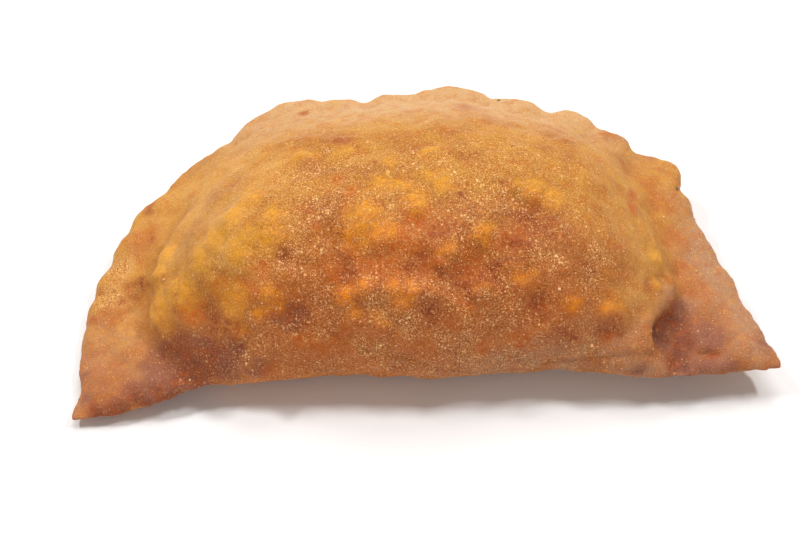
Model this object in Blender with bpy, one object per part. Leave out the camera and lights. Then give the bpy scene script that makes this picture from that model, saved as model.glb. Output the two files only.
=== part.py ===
"""Panzerotto: a disc of dough folded in half over its filling, sealed round the curved edge and fried.

The pastry lies on its belly, +Z up, with the fold towards -Y, the sealed rim towards +Y and its two
tips at -X and +X. It is one closed solid, pressed out of a ball: the ball's equator is drawn out to
the half moon's edge and every other vertex follows towards the middle, and then the upper and the
lower half of the ball take the heights of the crust above and below. Lumps and dents come last.

Lengths are in millimetres, with the fold along y = 0, up to the last step: there the pastry is moved
so that its origin is at the bottom, under the middle of its box, and turned into metres.
"""

import math

import bmesh
import bpy
import numpy as np
from mathutils import Vector, noise

NAME = "panzerotto"
MM = 0.001

# Golden brown crust.
CRUST_COLOR = (0.49, 0.2, 0.06, 1.0)
CRUST_ROUGHNESS = 0.55

# How finely the form is worked out, and the triangles that are kept of it.
BALL_SUBDIVISIONS = 7
CURVE_POINTS = 2400
EDGE_POINTS = 1440
GUIDE_POINTS = 300
CLEARANCE_BATCHES = 200
FACES_KEPT = 11600

# Middle of the pastry in plan. Angles are turned from +X round the middle of the fold.
MIDDLE = (-2.0, 40.0)

# The crimps: for each pinch its angle in degrees, the radius of the rim there, and how far the dough
# swells out before the next pinch. The first is the right tip and the last the left tip.
PINCHES = (
    (1.5, 95.0, 0.4),
    (7.0, 92.4, 0.4),
    (15.0, 89.9, 0.6),
    (24.0, 89.4, 0.7),
    (33.0, 91.0, 0.8),
    (39.5, 94.4, 5.6),
    (50.5, 95.0, 1.6),
    (58.2, 94.0, 3.4),
    (67.9, 92.2, 2.4),
    (78.0, 91.9, 3.4),
    (93.0, 91.2, 2.4),
    (101.5, 90.4, 1.4),
    (109.0, 94.6, 3.2),
    (127.0, 96.6, 0.8),
    (141.5, 99.2, 1.7),
    (149.5, 99.8, 1.2),
    (156.0, 98.8, 1.2),
    (162.5, 97.9, 0.8),
    (168.0, 96.8, 0.4),
    (174.0, 95.7, 0.4),
    (181.0, 93.8, 0.5),
    (186.2, 95.6, 0.0),
)
SWELL_ROUNDNESS = 0.85
PINCH_DEPTH = 0.9
PINCH_HALF_WIDTH = 2.0
PINCH_REACH = 15.0
PINCH_SHARE_BELOW = 0.6

# The pleat, where one crimp is laid over the next: how far it steps down, over which angles, and how
# far in from the rim it reaches.
PLEAT_DEG = 50.5
PLEAT_STEP = 2.4
PLEAT_EDGE_DEG = 2.3
PLEAT_SPREAD_DEG = 11.0
PLEAT_REACH = (6.0, 24.0)

# The fold between the tips: x, y and the height of its middle layer.
FOLD = (
    (-80.0, -8.0, 4.5),
    (-66.0, -5.0, 7.0),
    (-50.0, -1.5, 10.0),
    (-30.0, 0.0, 12.5),
    (0.0, -1.0, 13.5),
    (30.0, 1.5, 13.0),
    (52.0, -0.5, 11.5),
    (66.0, -1.5, 10.5),
    (80.0, 0.5, 10.0),
)

# The rim from tip to tip: x and the height of its middle layer.
RIM = (
    (-95.1, 3.0),
    (-85.0, 7.0),
    (-68.0, 12.5),
    (-48.0, 18.0),
    (-22.0, 20.0),
    (22.0, 20.0),
    (48.0, 18.5),
    (68.0, 15.5),
    (84.0, 12.0),
    (95.0, 10.0),
)
FROM_FOLD_TO_RIM = (-10.0, 75.0)

# The two layers of dough, pressed together round the filling: how thick they are, how much of that is
# left at the tips and how far in from there it grows, and how far in the fold is rounded.
FLANGE_THICKNESS = 5.2
TIP_SHARE = 0.5
TIP_TAPER = 14.0
FOLD_ROLL = 7.0

# The filled belly: its own middle, its reach from there each way, and how steeply it ends all round,
# from the right over the back.
BELLY_MIDDLE = (-2.0, 24.0)
BELLY_LEFT = 73.5
BELLY_RIGHT = 67.5
BELLY_LEFT_TO_RIGHT = (-20.0, 20.0)
BELLY_BACK = 62.0
BELLY_FRONT = 36.0
BELLY_CORNER = 2.4
BELLY_SLOPE_STEP_DEG = 30.0
BELLY_SLOPES = (4.8, 3.8, 2.4, 1.8, 1.8, 2.4, 5.2, 5.2, 5.0, 5.0, 5.0, 5.0, 4.8)
BELLY_FILLET = 0.12
BELLY_FAR_OUTSIDE = 1.6
BELLY_TOP_RISE = 27.0
BELLY_SAG = 3.2
FOLD_ROUNDING = 30.0
RIM_CLEARANCE = 9.0

# How softly the belly meets the table it lies on, and what still counts as lying on it.
TABLE_EASE = 2.0
ON_TABLE = 0.03

# The slack of the dough: the size of its waves and how far they stand out, less so near the rim.
WAVES = ((22.0, 1.1), (9.5, 0.7), (5.0, 0.3))
WAVE_SHIFT = (17.3, 5.1, 9.7)
WAVES_AT_RIM = 0.2
WAVES_FADE = (1.0, 16.0)

# Smoothing: how near the rim it stops, how far each pass moves a point towards its neighbours, and how
# many passes there are before and after the lumps.
SMOOTH_FROM_RIM = 3.0
SMOOTH_SHARE = 0.5
SMOOTH_FORM = 4
SMOOTH_LUMPS = 1

# Lumps of filling under the dough: where, how broad and how high.
LUMPS = (
    (-9.0, 3.0, 30.0, 14.0, 1.6),
    (-15.0, 9.5, 37.0, 4.5, 0.9),
    (-17.0, 28.0, 45.0, 6.0, 1.5),
    (5.0, 19.0, 43.0, 4.5, 1.4),
    (14.0, 9.0, 36.0, 4.0, 1.3),
    (23.0, 6.0, 31.0, 3.5, 0.9),
    (34.0, 18.0, 40.0, 6.5, 1.0),
    (38.0, 11.0, 34.0, 4.5, 1.0),
    (48.0, 10.0, 28.0, 5.0, 1.2),
    (56.0, 4.5, 17.0, 5.0, 1.3),
    (29.0, 2.0, 22.0, 6.0, 0.8),
    (0.0, 43.0, 45.0, 6.0, 0.9),
    (22.0, 39.0, 45.0, 5.0, 1.1),
    (15.0, 25.0, 44.0, 4.5, 0.8),
    (-33.0, 21.0, 42.0, 6.0, 0.8),
    (-42.0, 11.0, 34.0, 4.5, 0.9),
    (-56.0, 22.0, 31.0, 7.0, 1.0),
    (-47.5, -0.5, 15.0, 3.6, 2.0),
    (66.0, 10.0, 13.0, 3.0, 1.6),
    (83.0, 8.0, 13.0, 5.0, 0.9),
)

# Dents between them: where, how broad and how deep.
DENTS = (
    (-21.0, 17.0, 42.0, 4.5, 1.5),
    (-23.0, 12.0, 38.0, 3.0, 1.0),
    (-2.0, 24.0, 45.0, 4.5, 1.7),
    (-1.0, 15.0, 41.0, 3.5, 1.3),
    (11.0, 14.0, 40.0, 4.5, 1.4),
    (28.0, 28.0, 44.0, 5.5, 1.3),
    (28.0, 8.0, 32.0, 4.2, 2.0),
    (48.0, 6.0, 24.0, 3.5, 1.1),
    (-36.0, 17.0, 39.0, 4.5, 1.0),
    (-54.0, 38.0, 34.0, 4.5, 0.9),
    (-34.0, 6.0, 31.0, 5.0, 1.9),
    (1.0, 5.0, 33.0, 3.2, 1.8),
    (19.0, 3.0, 27.0, 4.0, 1.0),
    (-31.0, 1.0, 23.0, 4.0, 0.9),
    (-59.0, 12.0, 24.0, 7.0, 1.4),
    (-42.0, -1.0, 17.0, 3.0, 1.5),
    (-80.5, 28.0, 9.0, 6.0, 1.6),
    (-68.0, 7.0, 10.0, 5.5, 1.2),
    (74.0, 5.0, 13.0, 2.5, 1.2),
)

# Ridges that run over the crust: the places each runs through, how broad and how high it is.
FRONT_ARCH = (
    (-23.0, 6.0, 32.0),
    (-21.0, 9.5, 36.5),
    (-4.0, 9.0, 37.0),
    (4.5, 7.0, 35.0),
    (9.0, 4.0, 30.0),
    (12.0, 0.0, 24.0),
    (12.0, -1.0, 17.0),
    (8.0, -2.0, 13.0),
)
LEFT_WELT = (
    (-37.0, 14.0, 37.0),
    (-44.0, 11.0, 32.0),
    (-45.0, 8.0, 29.0),
    (-44.0, 2.0, 22.0),
    (-45.0, -1.0, 16.0),
)
LEFT_NOSE = ((-67.0, 42.0, 20.0), (-71.0, 36.0, 17.0), (-71.5, 27.0, 16.0), (-70.5, 20.0, 15.0))
RIGHT_NOSE = (
    (59.0, 34.0, 25.0),
    (64.0, 31.0, 18.0),
    (64.5, 24.0, 17.0),
    (62.0, 16.0, 19.0),
    (58.5, 10.0, 18.0),
    (57.5, 6.0, 16.0),
)
RIDGES = (
    (FRONT_ARCH, 2.8, 1.1),
    (LEFT_WELT, 2.8, 1.2),
    (LEFT_NOSE, 4.0, 2.2),
    (RIGHT_NOSE, 3.0, 1.8),
)

# The crease beside the pocket, and the pocket itself, pushed in sideways under the belly's edge.
RIGHT_CREASE = ((67.0, 16.0, 14.0), (68.5, 8.0, 13.0), (67.0, 1.0, 13.0))
CREASE_BREADTH = 2.4
CREASE_DEPTH = 1.6
POCKET = (62.0, 10.0, 15.0)
POCKET_BREADTH = 4.4
POCKET_PUSH = (-4.2, 0.8, -1.8)


def smoothstep(low, high, value):
    """0 below low, 1 above high, and an even S between them."""
    t = np.clip((value - low) / (high - low), 0.0, 1.0)
    return t * t * (3.0 - 2.0 * t)


def mix(a, b, share):
    return a + (b - a) * share


def hump(distance, breadth):
    """A soft hump, 1 in its middle."""
    return np.exp(-((distance / breadth) ** 2))


def quarter_round(distance, radius):
    """0 at an edge and 1 from a radius inside it on, rounded like a quarter circle."""
    return np.sqrt(1.0 - (1.0 - np.minimum(distance / radius, 1.0)) ** 2)


def through(knots, values, at):
    """A smooth curve through the values at the knots."""
    knots, values = np.asarray(knots, float), np.asarray(values, float)
    slopes = np.gradient(values, knots)
    i = np.clip(np.searchsorted(knots, at, side="right") - 1, 0, len(knots) - 2)
    step = knots[i + 1] - knots[i]
    t = np.clip((at - knots[i]) / step, 0.0, 1.0)
    return (
        (2 * t**3 - 3 * t**2 + 1) * values[i]
        + (t**3 - 2 * t**2 + t) * step * slopes[i]
        + (3 * t**2 - 2 * t**3) * values[i + 1]
        + (t**3 - t**2) * step * slopes[i + 1]
    )


def spaced(path, count):
    """Evenly spaced points along a path, its ends included."""
    lengths = np.concatenate(([0.0], np.cumsum(np.linalg.norm(np.diff(path, axis=0), axis=1))))
    at = np.linspace(0.0, lengths[-1], count)
    return np.column_stack([np.interp(at, lengths, path[:, axis]) for axis in range(path.shape[1])])


def clearance(points, path):
    """Distance from each point to a path, in plan or in space."""
    path = np.asarray(path, float)
    starts, steps = path[:-1], np.diff(path, axis=0)
    squares = (steps**2).sum(axis=1)
    gaps = []
    for some in np.array_split(points, CLEARANCE_BATCHES):
        away = some[:, None] - starts
        along = np.clip((away * steps).sum(axis=2) / squares, 0.0, 1.0)
        gaps.append(np.linalg.norm(away - along[..., None] * steps, axis=2).min(axis=1))
    return np.concatenate(gaps)


def rim_line():
    """The sealed edge in plan, from the right tip to the left one."""
    degrees, radii, swells = (np.array(column) for column in zip(*PINCHES))
    angle = np.linspace(degrees[0], degrees[-1], CURVE_POINTS)
    i = np.clip(np.searchsorted(degrees, angle, side="right") - 1, 0, len(degrees) - 2)
    t = (angle - degrees[i]) / (degrees[i + 1] - degrees[i])
    radius = through(degrees, radii, angle) + swells[i] * np.sin(np.pi * t) ** SWELL_ROUNDNESS
    turn = np.radians(angle)
    return np.column_stack((radius * np.cos(turn), radius * np.sin(turn)))


def fold_line(left_tip, right_tip):
    """The folded edge in plan, from the left tip to the right one."""
    knots = np.array([left_tip, *(place[:2] for place in FOLD), right_tip])
    x = np.linspace(left_tip[0], right_tip[0], CURVE_POINTS)
    return np.column_stack((x, through(knots[:, 0], knots[:, 1], x)))


def middle_layer(plan):
    """Height of the seam between the two layers of dough over each place in plan."""
    x, y = plan.T
    fold = [RIM[0], *((place[0], place[2]) for place in FOLD), RIM[-1]]
    at_fold = through(*zip(*fold), x)
    at_rim = through(*zip(*RIM), x)
    return mix(at_fold, at_rim, smoothstep(*FROM_FOLD_TO_RIM, y))


def grooves(plan, from_rim):
    """How deep the pinches are pressed into the rim."""
    radius = np.hypot(*plan.T)
    angle = np.degrees(np.arctan2(plan[:, 1], plan[:, 0])) % 360.0
    across = [radius * np.radians(angle - pinch[0]) for pinch in PINCHES[1:-1]]
    pressed = np.max([hump(distance, PINCH_HALF_WIDTH) for distance in across], axis=0)
    return PINCH_DEPTH * pressed * (1.0 - smoothstep(0.0, PINCH_REACH, from_rim))


def pleat(plan, from_rim):
    """How far the rim lies lower behind the pleat."""
    behind = PLEAT_DEG - np.degrees(np.arctan2(plan[:, 1], plan[:, 0])) % 360.0
    down = smoothstep(-PLEAT_EDGE_DEG, PLEAT_EDGE_DEG, behind)
    back_up = 1.0 - smoothstep(PLEAT_EDGE_DEG, PLEAT_SPREAD_DEG, behind)
    return PLEAT_STEP * down * back_up * (1.0 - smoothstep(*PLEAT_REACH, from_rim))


def filling(plan, from_rim, from_fold):
    """How full the pastry is: 1 in the middle, rounded over at the fold, running out to the flange."""
    away = plan - np.array(BELLY_MIDDLE)
    length = mix(BELLY_LEFT, BELLY_RIGHT, smoothstep(*BELLY_LEFT_TO_RIGHT, away[:, 0]))
    depth = np.where(away[:, 1] > 0, BELLY_BACK, BELLY_FRONT)
    across, along = np.abs(away[:, 0] / length), np.abs(away[:, 1] / depth)
    share = (across**BELLY_CORNER + along**BELLY_CORNER) ** (1.0 / BELLY_CORNER)
    bearing = np.degrees(np.arctan2(away[:, 1], away[:, 0])) % 360.0
    slope = through(BELLY_SLOPE_STEP_DEG * np.arange(len(BELLY_SLOPES)), BELLY_SLOPES, bearing)
    dome = 1.0 - np.minimum(share, BELLY_FAR_OUTSIDE) ** slope
    dome = (dome + np.sqrt(dome**2 + BELLY_FILLET**2)) / 2
    return dome * quarter_round(from_fold, FOLD_ROUNDING) * smoothstep(0.0, RIM_CLEARANCE, from_rim)


def press(ball, rim, fold):
    """Sends the points of a unit ball to the half moon."""
    edge = spaced(np.vstack((rim, fold[1:], rim[:1])), EDGE_POINTS + 1)
    azimuth = np.arctan2(ball[:, 1], ball[:, 0]) / math.tau % 1.0 * EDGE_POINTS
    out = np.column_stack([np.interp(azimuth, np.arange(len(edge)), edge[:, axis]) for axis in range(2)])
    spread = np.minimum(1.0, np.hypot(ball[:, 0], ball[:, 1]))
    middle = np.array(MIDDLE)
    plan = middle + (out - middle) * spread[:, None]

    from_edge = clearance(plan, edge)
    from_rim = clearance(plan, spaced(rim, GUIDE_POINTS))
    from_fold = clearance(plan, spaced(fold, GUIDE_POINTS))
    from_tip = np.linalg.norm(plan[:, None] - fold[[0, -1]], axis=2).min(axis=1)
    half = FLANGE_THICKNESS / 2 * mix(TIP_SHARE, 1.0, smoothstep(0.0, TIP_TAPER, from_tip))
    rounding = np.minimum(quarter_round(from_edge, half), quarter_round(from_fold, FOLD_ROLL))
    groove = grooves(plan, from_rim) * rounding
    layer = middle_layer(plan) - pleat(plan, from_rim)
    full = filling(plan, from_rim, from_fold)
    upper = layer + half * rounding - groove + BELLY_TOP_RISE * full
    lower = mix(layer - half * rounding + PINCH_SHARE_BELOW * groove, -BELLY_SAG, full)
    return np.column_stack((plan, np.where(ball[:, 2] >= 0, upper, lower)))


def waves(points, rim):
    """The uneven surface of the slack dough: soft waves of several sizes."""
    height = np.zeros(len(points))
    for layer, (size, reach) in enumerate(WAVES, start=1):
        shift = Vector(WAVE_SHIFT) * layer
        height += reach * np.array([noise.noise(Vector(point) / size + shift) for point in points])
    from_rim = clearance(points[:, :2], spaced(rim, GUIDE_POINTS))
    return height * mix(WAVES_AT_RIM, 1.0, smoothstep(*WAVES_FADE, from_rim))


def relief(points, normals, rim):
    """Raises the lumps and ridges, and presses the dents, the crease and the pocket in."""
    height = waves(points, rim)
    for x, y, z, breadth, high in LUMPS:
        height += high * hump(np.linalg.norm(points - (x, y, z), axis=1), breadth)
    for x, y, z, breadth, deep in DENTS:
        height -= deep * hump(np.linalg.norm(points - (x, y, z), axis=1), breadth)
    for line, breadth, high in RIDGES:
        height += high * hump(clearance(points, line), breadth)
    height -= CREASE_DEPTH * hump(clearance(points, RIGHT_CREASE), CREASE_BREADTH)
    points = points + normals * height[:, None]
    pushed = hump(np.linalg.norm(points - POCKET, axis=1), POCKET_BREADTH)
    return points + pushed[:, None] * POCKET_PUSH


def settle(points):
    """Flattens the belly where it lies on the table, and eases it up from there."""
    height = points[:, 2]
    eased = np.maximum(height + TABLE_EASE, 0.0) ** 2 / (4.0 * TABLE_EASE)
    return np.column_stack((points[:, :2], np.where(height < TABLE_EASE, eased, height)))


def centre(points):
    """Moves the points so that the middle of their box is over the origin."""
    middle = (points.max(axis=0) + points.min(axis=0)) / 2
    return points - (middle[0], middle[1], 0.0)


def points_of(mesh):
    points = np.empty(len(mesh.vertices) * 3)
    mesh.vertices.foreach_get("co", points)
    return points.reshape(-1, 3)


def normals_of(mesh):
    normals = np.empty(len(mesh.vertices) * 3)
    mesh.vertex_normals.foreach_get("vector", normals)
    return normals.reshape(-1, 3)


def place(mesh, points):
    mesh.vertices.foreach_set("co", points.ravel())
    mesh.update()


def smooth(mesh, rim, times):
    """Evens out the steps that the ball's lattice leaves on steep places, but keeps the crimps crisp."""
    inside = clearance(points_of(mesh)[:, :2], spaced(rim, GUIDE_POINTS)) > SMOOTH_FROM_RIM
    form = bmesh.new()
    form.from_mesh(mesh)
    form.verts.ensure_lookup_table()
    soft = [form.verts[i] for i in np.flatnonzero(inside)]
    every_way = {"use_axis_x": True, "use_axis_y": True, "use_axis_z": True}
    for _ in range(times):
        bmesh.ops.smooth_vert(form, verts=soft, factor=SMOOTH_SHARE, **every_way)
    form.to_mesh(mesh)
    form.free()


def thin_out(pastry):
    """Keeps only as many triangles as the shape needs, and lays the lowest points flat on the table."""
    modifier = pastry.modifiers.new("fewer faces", "DECIMATE")
    modifier.ratio = FACES_KEPT / len(pastry.data.polygons)
    modifier.use_collapse_triangulate = True
    bpy.ops.object.modifier_apply(modifier=modifier.name)
    points = points_of(pastry.data)
    points[points[:, 2] < ON_TABLE * MM, 2] = 0.0
    place(pastry.data, points)


def crust():
    material = bpy.data.materials.new("crust")
    material.use_nodes = True
    surface = material.node_tree.nodes["Principled BSDF"]
    surface.inputs["Base Color"].default_value = CRUST_COLOR
    surface.inputs["Roughness"].default_value = CRUST_ROUGHNESS
    return material


def main():
    for obj in list(bpy.data.objects):
        bpy.data.objects.remove(obj)
    bpy.ops.mesh.primitive_ico_sphere_add(subdivisions=BALL_SUBDIVISIONS, radius=1.0)
    pastry = bpy.context.object
    pastry.name = NAME
    mesh = pastry.data
    mesh.name = NAME

    rim = rim_line()
    fold = fold_line(rim[-1], rim[0])
    place(mesh, press(points_of(mesh), rim, fold))
    smooth(mesh, rim, SMOOTH_FORM)
    place(mesh, relief(points_of(mesh), normals_of(mesh), rim))
    smooth(mesh, rim, SMOOTH_LUMPS)
    place(mesh, centre(settle(points_of(mesh))) * MM)
    thin_out(pastry)

    mesh.shade_smooth()
    mesh.materials.append(crust())
    collection = bpy.data.collections.new(NAME)
    bpy.context.scene.collection.children.link(collection)
    for home in list(pastry.users_collection):
        home.objects.unlink(pastry)
    collection.objects.link(pastry)


main()
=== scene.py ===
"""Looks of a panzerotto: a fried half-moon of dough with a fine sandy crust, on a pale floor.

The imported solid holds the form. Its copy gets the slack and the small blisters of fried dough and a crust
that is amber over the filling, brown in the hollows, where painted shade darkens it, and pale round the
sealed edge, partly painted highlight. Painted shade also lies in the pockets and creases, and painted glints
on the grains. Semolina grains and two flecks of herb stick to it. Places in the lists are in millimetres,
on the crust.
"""

import math

import bpy
import numpy as np
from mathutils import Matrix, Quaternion, Vector, kdtree, noise


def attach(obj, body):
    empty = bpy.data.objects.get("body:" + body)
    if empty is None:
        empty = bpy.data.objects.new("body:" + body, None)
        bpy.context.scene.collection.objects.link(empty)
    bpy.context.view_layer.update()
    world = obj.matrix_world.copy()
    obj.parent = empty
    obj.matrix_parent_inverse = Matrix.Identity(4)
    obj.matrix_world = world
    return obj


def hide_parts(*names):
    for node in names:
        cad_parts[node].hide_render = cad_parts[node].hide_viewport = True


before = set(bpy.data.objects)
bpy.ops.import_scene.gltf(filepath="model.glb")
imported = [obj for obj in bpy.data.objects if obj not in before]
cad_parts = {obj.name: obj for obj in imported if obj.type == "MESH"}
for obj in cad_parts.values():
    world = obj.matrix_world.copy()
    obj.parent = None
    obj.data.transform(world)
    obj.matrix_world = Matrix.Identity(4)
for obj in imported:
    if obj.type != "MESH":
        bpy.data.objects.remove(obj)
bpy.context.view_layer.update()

bl_info = {
    "name": "Panzerotto",
    "version": (1, 0, 0),
    "blender": (4, 5, 0),
    "location": "3D View > Sidebar > Panzerotto",
    "description": "Dresses the solid of a fried half-moon pastry as a golden, sandy crust",
    "category": "Object",
}

NODE = "panzerotto"
BODY = "root"
MM = 0.001

# Tones of the crust, each with its places: x, y, z and how broad it is. They run roughly from the left
# end to the right one.
AMBER = (
    (-71, -8, 20, 3), (-73, -14, 19, 3), (-71, -25, 18, 5), (-65, -24, 24, 6), (-60, -19, 31, 5),
    (-50, -32, 30, 5), (-50, -37, 25, 3), (-56, -15, 36, 4), (-51, -11, 39, 5), (-48, -21, 39, 5),
    (-46, -5, 38, 4), (-41, -33, 35, 3), (-40, -34, 32, 3), (-43, -36, 30, 3), (-46, -19, 41, 4),
    (-41, -20, 42, 5), (-41, -14, 43, 4), (-34, 11, 38, 3), (-22, 10, 40, 2), (-16, -16, 46, 4),
    (-12, -20, 45, 4), (-18, -19, 45, 5), (-20, -23, 43, 3), (-20, -34, 36, 3), (-19, -37, 32, 2.5),
    (-12, -38, 32, 3), (-17, -33, 38, 3), (-8, -33, 39, 2.5), (-4, -34, 38, 2.5), (-7, -36, 36, 3),
    (-10, 3, 44, 3), (-12, -6, 45, 4), (-7, -6, 45, 3), (-3, -12, 46, 4), (1, -3, 46, 3),
    (4, -7, 47, 3), (2, 9, 43, 3), (6, -25, 44, 2), (4, -27, 43, 2), (14, -20, 45, 3),
    (13, -33, 37, 2), (23, -6, 47, 2), (28, -7, 45, 4), (33, -9, 44, 4), (26, -31, 37, 3),
    (38, -33, 32, 3), (48, -33, 29, 3), (50, -33, 27, 3), (61, -14, 24, 3), (61, -21, 24, 2),
)
RUSSET = (
    (-62, -30, 23, 5), (-53, -29, 31, 4), (-46, -31, 34, 3), (-43, -27, 38, 3), (-42, -43, 15, 3),
    (-32, -41, 22, 4), (-28, -42, 21, 4), (-28, -20, 43, 2), (-20, -23, 41, 4), (-18, -27, 40, 5),
    (-25, -29, 38, 4), (-21, -32, 37, 3), (-24, -2, 43, 3), (-20, -7, 45, 3), (-39, -34, 30, 4),
    (-36, -33, 33, 4), (-22, -41, 24, 4), (-19, -40, 28, 3), (-15, -41, 27, 3), (-7, -41, 27, 3),
    (-7, -21, 44, 5), (-12, -22, 44, 3), (-8, -25, 43, 4), (-4, -24, 43, 3), (-10, -29, 41, 4),
    (-5, -18, 45, 3), (-2, -17, 45, 4), (1, -19, 45, 3), (1, -42, 24, 4), (7, -40, 30, 4),
    (3, -21, 45, 3.5), (2, -27, 41, 5), (11, -28, 40, 5), (12, -36, 34, 2.5), (15, -41, 22, 3),
    (24, -40, 23, 4), (22, -22, 43, 4), (29, -11, 44, 2), (29, -34, 31, 4), (37, -35, 30, 3),
    (48, -38, 21, 2.5), (56, 0, 29, 2.5), (57, 6, 26, 2.5),
)
# Dull brown places: partly the crust's own brown and partly painted shade below lumps, along the foot of the
# left end and in the right corner.
BROWN_AND_SHADE = (
    (-88, -51, 5, 3), (-82, -50, 6, 3), (-78, -48, 7, 3), (-71, -46, 8, 3), (-65, -42, 9, 4),
    (-59, -43, 11, 4), (-81, -13, 8, 2), (-79, -11, 9, 2), (-70, -35, 11, 3), (-64, -37, 14, 5),
    (-59, -40, 15, 5), (-52, -37, 25, 3), (-54, -40, 18, 4), (-50, -39, 22, 3), (-56, -34, 24, 3),
    (-36, -25, 40, 2.5), (-34, -35, 29, 3), (-33, -37, 27, 2.5), (-24, -39, 27, 1.5), (-21, -28, 39, 2.5),
    (-3, -28, 41, 3), (-1, -26, 42, 3), (3, -30, 40, 3), (9, -30, 39, 3), (14, -30, 38, 3),
    (0, -36, 33, 3), (2, -38, 31, 3), (10, -31, 38, 4), (12, -34, 36, 3), (3, -21, 45, 3),
    (-20, -30, 38, 2.5), (19, -29, 39, 3), (26, -24, 41, 3), (9, -10, 47, 2), (10, 5, 44, 2.5),
    (22, -23, 42, 3), (27, -16, 43, 3), (32, -18, 42, 2.5), (28, -32, 32, 3), (26, -35, 30, 3),
    (29, -36, 29, 3), (36, -39, 23, 4), (41, -27, 36, 2.5), (48, -36, 23, 4), (65, -27, 16, 3),
    (63, -30, 15, 3), (68, -30, 13, 3), (68, -34, 13, 4), (66, -39, 13, 3), (75, -37, 12, 2),
    (91, -31, 11, 2),
)
OLIVE = (
    (-85, -32, 7, 4), (-77, -39, 8, 4), (-74, -26, 13, 3), (-83, -23, 8, 4), (-70, -12, 21, 5),
    (-78, 6, 12, 8), (-70, 16, 16, 9), (-67, 0, 23, 9), (-62, 12, 22, 9), (-54, 17, 26, 9), (-42, 6, 37, 9),
    (-53, -8, 35, 9), (-53, -20, 37, 6), (-89, -14, 6, 5), (-86, -5, 8, 5), (51, -16, 35, 6),
    (54, -27, 28, 6), (78, -32, 14, 4), (80, -27, 13, 5),
)
BLUSH = (
    (-92, -33, 5, 4), (-91, -42, 5, 4), (-88, -46, 6, 4), (-84, -38, 7, 6),
    (-48, -44, 17, 2), (-26, -43, 14, 4), (-7, -43, 15, 4), (7, -43, 13, 4), (12, 36, 30, 5),
    (54, 35, 20, 4), (64, 29, 16, 3), (92, -38, 11, 4),
)
SALMON = (
    (63, 15, 19, 4), (57, 1, 28, 3), (57, 6, 26, 3), (65, 10, 18, 5), (68, -2, 17, 5), (70, -11, 15, 5),
    (72, -17, 15, 5), (-86, -20, 7, 4), (-80, 4, 11, 5),
)
# Painted shade in the pockets beside the belly and along the foot of the flange, a dark pinkish brown.
POCKET_SHADE = (
    (-91, -47, 5, 2.5), (-93, -39, 6, 2), (-87, -52, 4, 3), (-82, -50, 6, 3), (-77, -46, 8, 4),
    (-74, -47, 8, 5), (-71, -34, 11, 4), (-68, -44, 9, 7), (-65, -38, 13, 6), (-62, -43, 10, 7),
    (-59, -39, 17, 6), (-54, -42, 16, 6), (-50, -40, 21, 4), (-44, -44, 16, 3), (-36, -35, 29, 4),
    (61, -31, 15, 4), (63, -34, 14, 4), (65, -28, 15, 5), (67, -24, 15, 4), (68, -30, 13, 5),
    (68, -35, 13, 5), (67, -39, 12, 5), (70, -34, 13, 5), (70, -42, 12, 5), (73, -32, 14, 4),
    (56, -43, 13, 3), (74, -41, 12, 4), (80, -41, 13, 3), (90, -33, 12, 3), (-72, -41, 8, 6),
    (76, -32, 14, 5),
)
# Painted shade in the deepest creases: along the foot of the left end and in the pocket at the right.
SHADE = (
    (-86, -51, 5, 1.5), (-81, -50, 6, 2), (-76, -48, 7, 2.5), (-71, -46, 8, 3), (-66, -45, 9, 3),
    (-65, -43, 9, 3), (-61, -43, 11, 3), (-58, -43, 12, 2.5), (-69, -37, 11, 2), (62, -32, 14, 2),
    (65, -30, 14, 2.5), (67, -28, 14, 2), (68, -31, 13, 3), (68, -34, 13, 3.5), (67, -37, 12, 3),
    (68, -40, 12, 2),
)
# Browner places: partly the crust's own toasting and partly painted shade at the foot of both ends and in
# the right corner.
TOASTED_AND_SHADE = (
    (-72, -41, 8, 6), (-65, -42, 10, 7), (-59, -42, 12, 7), (-56, -32, 25, 5), (-60, -38, 17, 8),
    (-84, -48, 5, 7), (-24, -14, 44, 6), (-22, -30, 38, 6), (-4, -13, 45, 5), (12, -20, 44, 7),
    (26, -17, 43, 10), (34, -21, 42, 7), (42, -26, 37, 8), (50, -19, 35, 7), (50, -24, 33, 6),
    (59, -24, 25, 4), (30, -42, 10, 4), (46, -42, 11, 5), (60, -36, 15, 6), (68, -30, 13, 7),
    (72, -35, 13, 8), (76, -27, 14, 6), (78, -34, 14, 6), (82, -40, 12, 5),
)
SPOTS = (
    (-93, -20, 6, 1), (-91, -12, 6, 0.8), (-84, -15, 7, 1.2), (-82, -14, 7, 1), (-85, -16, 7, 0.8),
    (-80, 15, 11, 1.6), (-80, 13, 11, 1.6), (-78, 3, 11, 0.8), (-71, -17, 20, 0.7), (-67, -29, 20, 0.7),
    (-66, -25, 23, 0.6), (-62, -21, 29, 0.5), (-55, -24, 34, 0.5), (-48, 34, 22, 0.6), (-45, -18, 41, 0.5),
    (-36, 39, 24, 1.4), (-25, 15, 39, 1.8), (-23, 16, 39, 2), (-22, 16, 39, 1.5), (-11, -4, 45, 0.5),
    (21, 46, 22, 0.5), (27, 19, 38, 0.5), (29, -13, 43, 1), (66, -17, 19, 0.5), (85, -15, 13, 0.6),
)

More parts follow.
